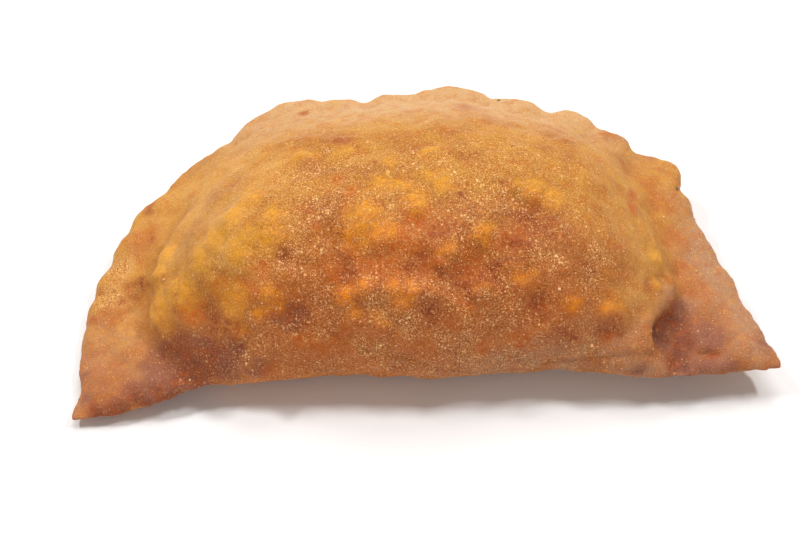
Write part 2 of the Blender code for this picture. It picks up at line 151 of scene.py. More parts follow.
# Where the crust is sandier than round about.
SANDY = (
    (-46, 14, 32, 1), (-39, 15, 35, 1), (-29, 3, 41, 3), (-36, -27, 39, 1.5), (-34, -24, 41, 1.5),
    (-31, -21, 43, 1.5), (-28, -17, 45, 1.5), (-26, -13, 45, 2), (-24, -9, 45, 2), (-22, -3, 44, 2),
    (-20, 2, 43, 2), (-30, 5, 40, 1.5), (-28, 12, 39, 1.5), (-25, 3, 41, 1.5), (-24, -36, 33, 1),
    (-25, -38, 29, 1), (-25, -40, 25, 1), (-18, -42, 24, 3), (-5, -39, 31, 3), (-4, 1, 44, 1.5),
    (-3, 8, 42, 1.5), (-3, -34, 39, 1), (3, -41, 25, 3), (6, -23, 45, 1.5), (7, -37, 35, 1.5),
    (10, -39, 31, 2.5), (11, -41, 26, 3), (11, -43, 20, 3), (-12, -43, 23, 2.5), (-12, -37, 34, 4),
    (-6, -40, 28, 3), (11, -18, 46, 2), (15, -35, 36, 1.5), (20, -13, 46, 2.5), (31, -26, 40, 2),
    (42, -29, 35, 2.5), (43, -39, 20, 2.5), (45, -22, 37, 3), (-89, -14, 6, 5), (-87, -4, 8, 4),
)

# Folds of the dough: the places each runs through, how broad it is and how far it stands out. Those
# that stand out by less than nothing are creases.
FOLDS = (
    (
        ((66, -18, 19), (64.5, -24, 19.5), (61, -29, 21), (58.5, -33, 21), (58, -36, 20), (59, -39, 18)),
        2.2,
        0.6,
    ),
    (((66, -23.5, 18), (65, -26, 17)), 2.2, 0.8),
    (((64, -29, 15.5), (62.5, -31, 14.5), (62, -33, 14), (63.5, -35, 13.5)), 2.8, -1.1),
    (((64.5, -29.5, 14), (65.5, -33, 14), (65, -36, 13)), 1.8, 0.6),
    (((68, -23, 15), (69, -27.5, 13.5), (69, -33, 13), (68, -37.5, 12), (67.5, -41.5, 11)), 2.6, -1.0),
    (((-44, -31, 36), (-44, -34, 33), (-44, -36, 29), (-44, -39, 26)), 1.8, 0.7),
    (((-47.5, -43, 18), (-46, -44, 16), (-44, -44.5, 15)), 2.2, 1.0),
    (((-50, -44.5, 15), (-49, -45, 14)), 1.6, -0.8),
    (((73, -37, 12.5), (75.5, -37, 12.5), (77.5, -37.5, 13)), 0.9, -0.9),
    (((82, -35, 14), (84, -34, 14), (86, -35, 13)), 1.2, 0.5),
    (((88, -33.5, 12.5), (89, -34.5, 12.5), (90.5, -35.5, 12)), 0.8, 0.5),
    (((-84, -12, 8), (-82, -11, 8)), 1.2, -0.6),
    (((-24, -40, 26), (-20, -42, 23), (-14, -43, 22), (-5, -43, 20), (3, -44, 16)), 1.2, -0.5),
    (((7, -37, 35), (9, -39, 31), (11, -41, 26), (12, -43, 20)), 1.8, 0.5),
    (((-71, -12, 20), (-74, -17, 17), (-75.5, -22, 12), (-73, -27, 13), (-70, -32, 14)), 2.0, 0.5),
    (((26, -42, 14), (40, -42, 13), (51, -42, 15), (59, -42, 14)), 1.6, 0.5),
    (((31, -41, 15), (43, -41, 15.5), (52, -41, 17), (59, -40, 17)), 1.1, -0.6),
)

# The tones that are lists of patches, and how steeply a patch ends.
TONES = {
    "amber": AMBER,
    "russet": RUSSET,
    "brown_and_shade": BROWN_AND_SHADE,
    "pocket_shade": POCKET_SHADE,
    "salmon": SALMON,
    "blush": BLUSH,
    "olive": OLIVE,
    "toasted": TOASTED_AND_SHADE,
    "sandy": SANDY,
    "shade": SHADE,
}
PATCH_POWER = 3

# The masks that the crust keeps, four to an attribute.
ATTRIBUTES = {
    "tone": ("amber", "russet", "brown_and_shade", "pocket_shade"),
    "flush": ("salmon", "blush", "olive", "toasted"),
    "place": ("front", "pale", "pink_and_reflection", "shade"),
    "form": ("hollow_shade", "sandy", "spot", "grain"),
}

# The tints laid over the golden crust in turn: the mask, the colour, how strong it is, and whether it
# breaks up into specks. The clouds and the lights are masks that the material makes itself.
TINTS = (
    ("front", "front", 1.0, False),
    ("olive", "olive", 0.8, False),
    ("pale", "pale", 0.95, False),
    # Dull pink, at the foot of the front partly painted reflection.
    ("pink_and_reflection", "pink_and_reflection", 0.9, False),
    ("blush", "blush", 0.7, False),
    ("salmon", "salmon", 0.8, False),
    # Browner places, partly painted shade.
    ("toasted", "toasted", 0.8, False),
    ("clouds", "russet", 0.35, False),
    ("lights", "amber", 0.3, False),
    # Painted shade in the hollows.
    ("hollow_shade", "brown_and_shade", 0.25, False),
    # Painted shade in the pockets.
    ("pocket_shade", "pocket_shade", 0.92, False),
    ("shade", "shade", 0.85, False),
    ("russet", "russet", 0.9, True),
    ("amber", "amber", 0.92, True),
    # Dull brown, partly painted shade.
    ("brown_and_shade", "brown_and_shade", 0.85, True),
    ("sandy", "sandy", 0.45, True),
    ("spot", "spot", 0.9, False),
)

# How the outlines of the tones wander, first widely and then finely: how broad a bend is and how far it
# goes, in millimetres, with a seed for each direction. Spots wander by this share of it.
WANDERS = ((5, 2.6, (4, 5, 6)), (2, 0.9, (7, 8, 9)))
SPOT_WANDER = 0.4

# How far each seed shifts the noise, in lumps of it.
NOISE_SHIFT = (7.3, 3.1, 5.7)

# Broad zones of the crust. A span, in millimetres, is the stretch over which a zone fades in or out. The
# front is darker and redder than the golden top, partly deeper fried and partly painted shade where the
# dough turns down and away from the light. It gives way to the golden top, further back low down and further
# forward at both ends.
FRONT_SPAN = (-24, 14)
FRONT_LEAN = 0.3
LEFT_END_SPAN = (-56, -26)
LEFT_END_SHIFT = 24
RIGHT_END_SPAN = (34, 56)
RIGHT_END_SHIFT = 18

# The sealed edge is pale at the back, partly its own tone and partly painted highlight where it faces the
# light from behind. It is a dull pink at both ends, and so is the foot of the front, from its middle to the
# right, where the pink is partly painted reflection of the bright floor.
PALE_BACK_SPAN = (16, 40)
PALE_SIDE_SPAN = (45, 80)
DUSTY_RIGHT_SPAN = (63, 75)
DUSTY_RIGHT_BACK_SPAN = (0, 30)
DUSTY_LEFT_SPAN = (72, 86)
DUSTY_LEFT_BACK_SPAN = (-34, -10)
DUSTY_LEFT_SHARE = 0.55
PINK_REFLECTION_FOOT_SPAN = (-15, 25)
PINK_REFLECTION_FOOT_TOP_SPAN = (14, 30)
PINK_REFLECTION_FOOT_BACK = -20
PINK_REFLECTION_FOOT_SHARE = 0.85

# The sandy grain lies thickest on the middle of the front, and thinner on amber and russet places.
GRAIN_LEAST = 0.3
GRAIN_ON_FRONT = 0.68
GRAIN_MIDDLE = -5
GRAIN_SIDE_SPAN = (18, 74)
GRAIN_BACK_SPAN = (-10, 40)
GRAIN_WHERE_SANDY = 0.7
GRAIN_LOSS = 0.5

# Relief of the dough, in millimetres: how broad its waves, its wrinkles and the ridges between them are.
# A swell lies in front of its amber patch and below it, dull brown places, which also hold painted shade,
# dip by a share of a swell, and all relief fades out where the dough meets the floor.
WAVE_BREADTH = 6
WRINKLE_BREADTH = 2.4
RIDGE_BREADTH = 3.4
SWELL_OFFSET = (0.0, 1.5, 1.5)
DIP_SHARE = 0.35
FLOOR_SPAN = (0, 6)

# Points of the solid that are this close, in millimetres, are one. Passes of evening out round off its
# flat faces, but a point that they would move this far is on a sharp edge, and gets only a few of them.
MERGE_DISTANCE = 0.01
SOFT_PASSES = 20
SHARP_PASSES = 3
SHARP_SPAN = (0.3, 0.8)

# What lies behind the evened form is a hollow, darkened there as painted shade, and what stands out from it
# far enough is an edge that has toasted, most of all towards both ends.
BULGE_PASSES = 60
HOLLOW_SPAN = (0.05, 0.6)
EDGE_SPAN = (0.7, 1.5)
EDGE_SIDE_SPAN = (40, 75)
EDGE_LEAST = 0.25
EDGE_SHARE = 0.6

# Blisters: the least and the greatest share of the largest radius, before it is squared, and their
# height as a share of their radius.
BLISTER_SEED = 11
BLISTER_SIZES = (0.5, 1.0)
BLISTER_HEIGHT = 0.2

# The two node groups. The coarse grains of the crust are this many times as large as the fine ones, and
# a grain that glints is this share as rough as the rest.
MOTTLE = "Mottle"
GRAIN = "Grain"
COARSE_GRAIN = 2.1
GLINT_ROUGHNESS = 0.7

# Where grains stick: single large ones, and the row that the edge of the dough left on the seam.
LARGE_GRAINS = (
    (45, -16, 39),
    (66, 5, 18),
    (48, 30, 22),
    (74, -11, 14),
    (23, 10, 43),
    (28, 37, 25),
    (35, 2, 42),
    (-33, -33, 32),
    (3, -42, 24),
    (-63, -43, 9),
    (-47, -44, 18),
    (-88, -15, 6),
    (-71, -18, 20),
    (34, -32, 35),
)
SEAM = ((-54, 11, 29), (-50, 14, 30), (-47, 19, 30), (-40, 21, 32), (-28, 23, 34))

# The grains: the shares of the set radius that they have, how far they stray from the seam and how high
# above the floor the strewn ones start, in millimetres, their shape, and the share by which they stand out.
GRAIN_SEED = 23
FINE_SIZES = (0.35, 0.8)
SEAM_SIZES = (0.6, 1.0)
LARGE_SIZES = (1.2, 1.7)
SEAM_SPREAD = 0.5
LOWEST_GRAIN = 8
GRAIN_SHAPE = (1.0, 0.75, 0.6)
GRAIN_LIFT = 0.2

# The flecks of herb: the place and the radius of each, their shape, how much they curl up and lean, and
# how far they stand out, in millimetres.
HERB_FLECKS = ((71.5, 17.5, 16, 0.7), (21, 45.5, 23, 0.5))
LEAF_SHAPE = (1.0, 0.55, 0.22)
LEAF_CURL = 0.25
LEAF_LEAN = 0.15
LEAF_LIFT = 0.12

# The stage, in metres: the lamps with their places, widths and lengths and the setting that holds their
# power, and for the camera the point that it looks at, its lens, its shift and how near it sees.
FLOOR_SIZE = 6.0
LAMPS = (
    ("left lamp", (-0.52, 0.16, 0.86), (0.2, 0.08), "lamp_power"),
    ("right lamp", (0.52, 0.16, 0.86), (0.2, 0.08), "lamp_power"),
    ("window", (0.0, 0.55, 0.85), (0.5, 0.5), "window_power"),
    ("pale wall", (0.0, -0.72, 0.3), (1.2, 0.5), "wall_power"),
)
TARGET = (0.0005, -0.0097, 0.015)
LENS = 73.42
SHIFT = -0.036
NEAREST = 0.01


def rise(value, span):
    """0 before the span, 1 after it, and an even S across it. The span is in millimetres."""
    start, end = span
    t = np.clip((value - start * MM) / (end * MM - start * MM), 0.0, 1.0)
    return t * t * (3.0 - 2.0 * t)


def fall(value, span):
    """1 before the span, 0 after it, and an even S across it."""
    return 1.0 - rise(value, span)


def select_only(piece):
    bpy.ops.object.select_all(action="DESELECT")
    piece.select_set(True)
    bpy.context.view_layer.objects.active = piece


def apply_modifier(piece, kind, **settings):
    """Adds a modifier with these settings and applies it."""
    select_only(piece)
    modifier = piece.modifiers.new(kind.lower(), kind)
    for setting, value in settings.items():
        setattr(modifier, setting, value)
    bpy.ops.object.modifier_apply(modifier=modifier.name)


def points_of(mesh):
    points = np.empty(len(mesh.vertices) * 3)
    mesh.vertices.foreach_get("co", points)
    return points.reshape(-1, 3)


def normals_of(mesh):
    normals = np.empty(len(mesh.vertices) * 3)
    mesh.vertex_normals.foreach_get("vector", normals)
    return normals.reshape(-1, 3)


def edges_of(mesh):
    edges = np.empty(len(mesh.edges) * 2, int)
    mesh.edges.foreach_get("vertices", edges)
    return edges.reshape(-1, 2)


def place(mesh, points):
    mesh.vertices.foreach_set("co", points.ravel())
    mesh.update()


def surface_of(mesh):
    """The points of a mesh, their normals and a search tree that finds the nearest point."""
    points = points_of(mesh)
    tree = kdtree.KDTree(len(points))
    for index, point in enumerate(points):
        tree.insert(point, index)
    tree.balance()
    return points, normals_of(mesh), tree


def upright(normal):
    """The turn that stands a shape up along a normal."""
    return Vector(normal).to_track_quat("Z", "Y")


def evened(points, edges, passes):
    """The points after each has moved halfway to the middle of its neighbours this many times."""
    a, b = edges.T
    count = np.bincount(edges.ravel(), minlength=len(points))[:, None]
    for _ in range(passes):
        total = np.column_stack(
            [
                np.bincount(a, points[b, axis], len(points)) + np.bincount(b, points[a, axis], len(points))
                for axis in range(3)
            ]
        )
        points = (points + total / count) / 2
    return points


def noise_at(points, size, seed):
    """Soft noise from -1 to 1, with lumps of this size in metres."""
    shift = Vector([seed * step for step in NOISE_SHIFT])
    return np.array([noise.noise(Vector(point) / size + shift) for point in points])


def patches(points, tree, places):
    """1 in the middle of each patch of the crust, fading to 0 outside it."""
    mask = np.zeros(len(points))
    for x, y, z, breadth in places:
        middle = np.array(tree.find((x * MM, y * MM, z * MM))[0])
        away = np.linalg.norm(points - middle, axis=1)
        mask = np.maximum(mask, np.exp(-((away / (breadth * MM)) ** PATCH_POWER)))
    return mask


# ---------------------------------------------------------------- materials


def node(tree, kind, at, inputs=None, **settings):
    """Adds a node with these settings. An input is a value or the socket that feeds it."""
    made = tree.nodes.new(kind)
    made.location = at
    for setting, value in settings.items():
        setattr(made, setting, value)
    for name, value in (inputs or {}).items():
        if isinstance(value, bpy.types.NodeSocket):
            tree.links.new(value, made.inputs[name])
        else:
            made.inputs[name].default_value = value
    return made


def blend_colors(tree, at, factor, a, b, mode="MIX"):
    """The socket of a colour mix from a to b."""
    inputs = {0: factor, 6: a, 7: b}
    return node(tree, "ShaderNodeMix", at, inputs, data_type="RGBA", blend_type=mode).outputs[2]


def calculate(tree, at, operation, a, b):
    return node(tree, "ShaderNodeMath", at, {0: a, 1: b}, operation=operation).outputs["Value"]


def ramp(tree, at, value, low, high, to_low=0.0, to_high=1.0):
    """The socket of an even S from to_low at low to to_high at high."""
    inputs = {"Value": value, "From Min": low, "From Max": high, "To Min": to_low, "To Max": to_high}
    return node(tree, "ShaderNodeMapRange", at, inputs, interpolation_type="SMOOTHSTEP").outputs["Result"]


def new_group(name, inputs, outputs):
    """An empty node group with float inputs and outputs: the group, its input node and its output node."""
    tree = bpy.data.node_groups.new(name, "ShaderNodeTree")
    for socket, value in inputs.items():
        made = tree.interface.new_socket(socket, in_out="INPUT", socket_type="NodeSocketFloat")
        made.default_value = value
    for socket in outputs:
        tree.interface.new_socket(socket, in_out="OUTPUT", socket_type="NodeSocketFloat")
    entry = tree.nodes.new("NodeGroupInput")
    entry.location = (-1800, 0)
    leave = tree.nodes.new("NodeGroupOutput")
    leave.location = (600, 0)
    return tree, entry, leave


def make_mottle_group():
    """Soft cloudy patches."""
    tree, entry, leave = new_group(MOTTLE, {"Scale": 100.0, "Low": 0.4, "High": 0.6}, ["Mask"])
    where = node(tree, "ShaderNodeTexCoord", (-1500, 0)).outputs["Object"]
    inputs = {"Vector": where, "Scale": entry.outputs["Scale"]}
    inputs |= {"Detail": 4.0, "Roughness": 0.6, "Distortion": 0.5}
    clouds = node(tree, "ShaderNodeTexNoise", (-700, 0), inputs).outputs["Fac"]
    mask = ramp(tree, (0, 0), clouds, low=entry.outputs["Low"], high=entry.outputs["High"])
    tree.links.new(mask, leave.inputs["Mask"])


def make_grain_group():
    """Ragged fine grains with painted glints, most where they lie thick, and painted shade in the gaps."""
    tree, entry, leave = new_group(GRAIN, {"Scale": 2200.0, "Share": 0.5}, ["Glint", "Gap", "Height"])
    where = node(tree, "ShaderNodeTexCoord", (-1500, 0)).outputs["Object"]
    inputs = {"Vector": where, "Scale": 1700.0, "Detail": 1.0}
    ragged = node(tree, "ShaderNodeTexNoise", (-1300, -200), inputs).outputs["Color"]
    inputs = {0: ragged, 1: (0.5 * MM, 0.5 * MM, 0.5 * MM), 2: where}
    bent = node(tree, "ShaderNodeVectorMath", (-1100, 0), inputs, operation="MULTIPLY_ADD")
    inputs = {"Vector": bent.outputs["Vector"], "Scale": entry.outputs["Scale"], "Randomness": 1.0}
    cells = node(tree, "ShaderNodeTexVoronoi", (-700, 100), inputs, feature="F1")
    dome = ramp(tree, (-400, 250), cells.outputs["Distance"], low=0.15, high=0.6, to_low=1.0, to_high=0.0)
    gap = ramp(tree, (-400, -50), cells.outputs["Distance"], low=0.35, high=0.75)
    chance = node(tree, "ShaderNodeSeparateColor", (-400, -350), {"Color": cells.outputs["Color"]})
    picked = ramp(tree, (-200, -350), chance.outputs["Red"], low=entry.outputs["Share"], high=1.0)
    inputs = {"Vector": where, "Scale": 320.0, "Detail": 2.0}
    clusters = node(tree, "ShaderNodeTexNoise", (-400, -700), inputs).outputs["Fac"]
    thick = ramp(tree, (-200, -700), clusters, low=0.35, high=0.65, to_low=0.3, to_high=1.0)
    glint = calculate(tree, (100, 200), "MULTIPLY", dome, picked)
    glint = calculate(tree, (300, 200), "MULTIPLY", glint, thick)
    uneven = ramp(tree, (100, -350), chance.outputs["Green"], low=0.0, high=1.0, to_low=0.4, to_high=1.0)
    height = calculate(tree, (300, 0), "MULTIPLY", dome, uneven)
    for name, socket in (("Glint", glint), ("Gap", gap), ("Height", height)):
        tree.links.new(socket, leave.inputs[name])


def place_group(tree, name, at, **values):
    """Places the node group of this name, with values for its inputs."""
    return node(tree, "ShaderNodeGroup", at, values, node_tree=bpy.data.node_groups[name])


def cloudy(tree, at, scale, low, high):
    """The socket of a mask of soft clouds, empty below low and full above high."""
    return place_group(tree, MOTTLE, at, Scale=scale, Low=low, High=high).outputs["Mask"]


def new_material(name, across):
    """A material whose shader stands this far to the right: the material, its nodes and the shader."""
    material = bpy.data.materials.new(name)
    material.use_nodes = True
    tree = material.node_tree
    surface = tree.nodes["Principled BSDF"]
    surface.location = (across, 0)
    tree.nodes["Material Output"].location = (across + 300, 0)
    return material, tree, surface


def read_masks(tree):
    """The sockets of the masks that the crust keeps."""
    masks = {}
    for row, (attribute, names) in enumerate(ATTRIBUTES.items()):
        y = -300 * row
        source = node(tree, "ShaderNodeAttribute", (-1600, y), attribute_name=attribute)
        shares = node(tree, "ShaderNodeSeparateColor", (-1400, y), {"Color": source.outputs["Color"]})
        sockets = (*shares.outputs, source.outputs["Alpha"])
        masks.update(zip(names, sockets))
    return masks


def crust_material(look):
    """Golden crust with its tones, partly painted shade and highlight, broken up by clouds and by a fine
    sandy grain with painted glints.
    """
    material, tree, surface = new_material("fried crust", 3200)
    masks = read_masks(tree)
    broad = cloudy(tree, (-1400, 700), scale=95.0, low=0.35, high=0.85)
    masks["clouds"] = cloudy(tree, (-1400, 900), scale=260.0, low=0.46, high=0.66)
    small = cloudy(tree, (-1400, 1100), scale=700.0, low=0.38, high=0.64)
    masks["lights"] = cloudy(tree, (-1400, 1300), scale=340.0, low=0.5, high=0.68)

    tints = {tint: getattr(look, tint) for _, tint, _, _ in TINTS}
    tints["amber"] = blend_colors(tree, (-1000, 1300), masks["front"], look.amber, look.orange)
    color = blend_colors(tree, (-1000, 600), broad, look.golden, look.toasted)
    ragged = ramp(tree, (-1150, 1100), small, low=0.0, high=1.0, to_low=0.4, to_high=1.2)
    for column, (mask, tint, share, breaks_up) in enumerate(TINTS):
        x = -800 + 200 * column
        factor = calculate(tree, (x, 300), "MULTIPLY", masks[mask], share)
        if breaks_up:
            factor = calculate(tree, (x, 100), "MULTIPLY", factor, ragged)
        color = blend_colors(tree, (x, 600), factor, color, tints[tint])

    fine = place_group(tree, GRAIN, (1600, -500), Scale=look.grain_scale, Share=0.5)
    coarse = place_group(tree, GRAIN, (1600, -800), Scale=look.grain_scale / COARSE_GRAIN, Share=0.75)
    # Painted shade between the grains.
    gap_shades = calculate(tree, (1900, -400), "MULTIPLY", fine.outputs["Gap"], masks["grain"])
    color = blend_colors(tree, (2600, 600), gap_shades, color, look.gap, "MULTIPLY")
    # Painted glints: the grains that catch the light are tinted pale, partly their own paleness and partly
    # painted highlight.
    glints = calculate(tree, (1900, -600), "MAXIMUM", fine.outputs["Glint"], coarse.outputs["Glint"])
    glints = calculate(tree, (2100, -600), "MULTIPLY", glints, masks["grain"])
    color = blend_colors(tree, (2800, 600), glints, color, look.glint)
    tree.links.new(color, surface.inputs["Base Color"])

    least_rough = look.roughness * GLINT_ROUGHNESS
    rough = ramp(tree, (2900, 0), glints, low=0.0, high=1.0, to_low=look.roughness, to_high=least_rough)
    tree.links.new(rough, surface.inputs["Roughness"])
    fine_bump = {"Height": fine.outputs["Height"], "Strength": 0.55, "Distance": 0.12 * MM}
    first = node(tree, "ShaderNodeBump", (2300, -800), fine_bump)
    coarse_bump = {"Height": coarse.outputs["Height"], "Strength": 0.4, "Distance": 0.2 * MM}
    second = node(tree, "ShaderNodeBump", (2500, -800), {**coarse_bump, "Normal": first.outputs["Normal"]})
    tree.links.new(second.outputs["Normal"], surface.inputs["Normal"])
    surface.inputs["Specular IOR Level"].default_value = 0.15
    surface.inputs["Subsurface Weight"].default_value = look.glow
    surface.inputs["Subsurface Radius"].default_value = (1.0, 0.4, 0.12)
    surface.inputs["Subsurface Scale"].default_value = 1.2 * MM
    return material


def speckled_material(name, color, dark, roughness):
    """One colour with small darker clouds."""
    material, tree, surface = new_material(name, 300)
    clouds = cloudy(tree, (-400, 0), scale=900.0, low=0.35, high=0.7)
    tree.links.new(blend_colors(tree, (0, 0), clouds, color, dark), surface.inputs["Base Color"])
    surface.inputs["Roughness"].default_value = roughness
    return material


def floor_material(look):
    """Matt pale board."""
    material, tree, surface = new_material("pale floor", 0)
    surface.inputs["Base Color"].default_value = look.floor_color
    surface.inputs["Roughness"].default_value = 0.9
    surface.inputs["Specular IOR Level"].default_value = 0.0
    return material


# ---------------------------------------------------------------- settings


def color_setting(name, description, color):
    return bpy.props.FloatVectorProperty(
        name=name, description=description, subtype="COLOR", size=4, default=(*color, 1.0), min=0.0, max=1.0
    )


def length_setting(name, description, length):
    return bpy.props.FloatProperty(name=name, description=description, default=length, unit="LENGTH")


def factor_setting(name, description, factor):
    return bpy.props.FloatProperty(name=name, description=description, default=factor, subtype="FACTOR")


def power_setting(name, description, power):
    return bpy.props.FloatProperty(name=name, description=description, default=power, unit="POWER")


def count_setting(name, description, count):
    return bpy.props.IntProperty(name=name, description=description, default=count)


class PanzerottoCrust(bpy.types.PropertyGroup):
    """Relief and finish of the crust."""

    step: length_setting("Mesh step", "Distance between the points of the crust", 0.00071)
    slack: length_setting("Slack", "Height of the soft waves in the dough", 0.0006)
    wrinkle: length_setting("Wrinkles", "Height of the fine wrinkles", 0.00022)
    swell: length_setting("Swell", "How far filling lifts the dough below the amber patches", 0.001)
    blisters: count_setting("Blisters", "How many small blisters rise", 300)
    blister_size: length_setting("Blister size", "Radius of the largest blisters", 0.0013)
    grain_scale: bpy.props.FloatProperty(
        name="Grain scale", description="Grains of the crust for each metre", default=2500.0
    )
    roughness: factor_setting("Roughness", "Roughness of the crust", 0.55)
    glow: factor_setting("Glow", "How far light soaks into the oily dough", 0.25)
    golden: color_setting("Golden", "Colour of the plain crust", (0.56, 0.27, 0.052))
    # Also the colour of painted shade at the foot of both ends.
    toasted: color_setting("Toasted", "Colour of the browner places", (0.37, 0.12, 0.028))
    # Partly painted shade on the front, where the dough turns away from the light.
    front: color_setting("Front", "Colour of the deeper fried front", (0.53, 0.184, 0.053))
    olive: color_setting("Olive", "Colour of the tan places", (0.66, 0.34, 0.085))
    # Partly painted highlight on the back of the sealed edge, which faces the light.
    pale: color_setting("Pale", "Colour of the sealed edge at the back", (0.6, 0.36, 0.17))
    # Dull pink, and at the foot of the front partly painted reflection of the floor.
    pink_and_reflection: color_setting("Dusty", "Colour of the dull pink ends of the flange", (0.43, 0.228, 0.126))
    blush: color_setting("Blush", "Colour of the reddened edge", (0.42, 0.16, 0.062))
    salmon: color_setting("Salmon", "Colour along the foot of the belly", (0.46, 0.15, 0.036))
    # Painted shade in the pockets.
    pocket_shade: color_setting("Mauve", "Colour of the shaded pockets", (0.27, 0.1, 0.062))
    # Painted shade in the deepest creases.
    shade: color_setting("Shade", "Colour of the deepest creases", (0.16, 0.058, 0.034))
    sandy: color_setting("Sandy", "Colour where the grain lies thick", (0.72, 0.38, 0.14))
    amber: color_setting("Amber", "Colour where filling shines through", (0.68, 0.31, 0.026))
    orange: color_setting("Orange", "Colour where filling shines through at the front", (0.71, 0.225, 0.012))
    russet: color_setting("Russet", "Colour of the deeper fried spots", (0.48, 0.11, 0.01))
    # Dull brown, also the colour of the painted shade in the hollows and below lumps.
    brown_and_shade: color_setting("Dusk", "Colour of the dull brown hollows", (0.34, 0.08, 0.022))
    spot: color_setting("Spots", "Colour of the fried spots and toasted edges", (0.38, 0.108, 0.03))
    # Painted shade between the grains.
    gap: color_setting("Gaps", "How dark it is between the grains", (0.6, 0.46, 0.3))
    # Painted glints on the grains, partly their own pale colour.
    glint: color_setting("Glints", "Colour of the pale grains", (1.0, 0.61, 0.255))


class PanzerottoGrains(bpy.types.PropertyGroup):
    """What sticks to the crust."""

    count: count_setting("Grains", "How many grains are strewn", 1400)
    on_seam: count_setting("On the seam", "How many grains mark the seam", 46)
    size: length_setting("Grain size", "Radius that the sizes of the grains go by", 0.00034)
    flour: color_setting("Semolina", "Colour of the grains", (0.82, 0.5, 0.24))
    flour_dark: color_setting("Fried semolina", "Colour of their browner side", (0.6, 0.27, 0.09))
    herb: color_setting("Herb", "Colour of the flecks of herb", (0.1, 0.1, 0.025))
    herb_dark: color_setting("Dark herb", "Colour of the darker side of the flecks", (0.05, 0.04, 0.012))


class PanzerottoStage(bpy.types.PropertyGroup):
    """Floor, light and camera."""

    floor_color: color_setting("Floor", "Colour of the floor", (0.9, 0.9, 0.9))
    lamp_power: power_setting("Lamps", "Power of each of the two lamps", 4.1)
    window_power: power_setting("Window", "Power of the window behind", 5.2)
    wall_power: power_setting("Wall", "Power of the light from the front", 1.25)
    fill: bpy.props.FloatProperty(name="Fill", description="Strength of the light all round", default=0.3)
    fill_color: color_setting("Fill colour", "Colour of the light all round", (1.0, 0.9, 0.82))
    distance: length_setting("Camera distance", "From the camera to the pastry", 0.45)
    elevation: bpy.props.FloatProperty(
        name="Camera elevation",
        description="How far the camera looks down",
        default=math.radians(53),
        subtype="ANGLE",
    )


# ---------------------------------------------------------------- pieces


def merged_copy(name):
    """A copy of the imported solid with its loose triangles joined."""
    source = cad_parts[NODE]
    piece = bpy.data.objects.new(name, source.data.copy())
    bpy.context.scene.collection.objects.link(piece)
    select_only(piece)
    bpy.ops.object.mode_set(mode="EDIT")
    bpy.ops.mesh.select_all(action="SELECT")
    bpy.ops.mesh.remove_doubles(threshold=MERGE_DISTANCE * MM)
    bpy.ops.object.mode_set(mode="OBJECT")
    piece.data.materials.clear()
    return piece


def softened(points, edges):
    """Rounds off the flat faces of the solid, but leaves thin edges and tips as sharp as they are."""
    soft = evened(points, edges, SOFT_PASSES)
    moved = np.linalg.norm(soft - points, axis=1)
    kept = rise(moved, SHARP_SPAN)[:, None]
    lightly = evened(points, edges, SHARP_PASSES)
    return soft + (lightly - soft) * kept


def clearance(points, path):
    """Distance from each point to a path."""
    gap_shades = np.full(len(points), np.inf)
    for start, step in zip(path[:-1], np.diff(path, axis=0)):
        along = np.clip((points - start) @ step / (step @ step), 0.0, 1.0)
        gap_shades = np.minimum(gap_shades, np.linalg.norm(points - start - along[:, None] * step, axis=1))
    return gap_shades


def folds(points):
    """How far the folds stand out, and the creases lie in."""
    height = np.zeros(len(points))
    for path, breadth, high in FOLDS:
        away = clearance(points, np.array(path) * MM)
        height += high * MM * np.exp(-((away / (breadth * MM)) ** 2))
    return height


def blisters(points, tree, look):
    """How high the small round blisters stand, strewn at random."""
    draw = np.random.default_rng(BLISTER_SEED)
    height = np.zeros(len(points))
    for index in draw.choice(len(points), look.blisters, replace=False):
        radius = look.blister_size * draw.uniform(*BLISTER_SIZES) ** 2
        for _, near, away in tree.find_range(points[index], radius):
            height[near] = max(height[near], BLISTER_HEIGHT * radius * (1 - (away / radius) ** 2))
    return height


def relief(points, tree, look):
    """How far the fried dough stands out from the solid."""
    height = look.slack * noise_at(points, WAVE_BREADTH * MM, 1)
    wrinkles = noise_at(points, WRINKLE_BREADTH * MM, 2)
    height += look.wrinkle * (wrinkles - np.abs(noise_at(points, RIDGE_BREADTH * MM, 3)))
    above = points + np.array(SWELL_OFFSET) * MM
    height += look.swell * (patches(above, tree, AMBER) - DIP_SHARE * patches(above, tree, BROWN_AND_SHADE))
    height += folds(points) + blisters(points, tree, look)
    return height * rise(points[:, 2], FLOOR_SPAN)


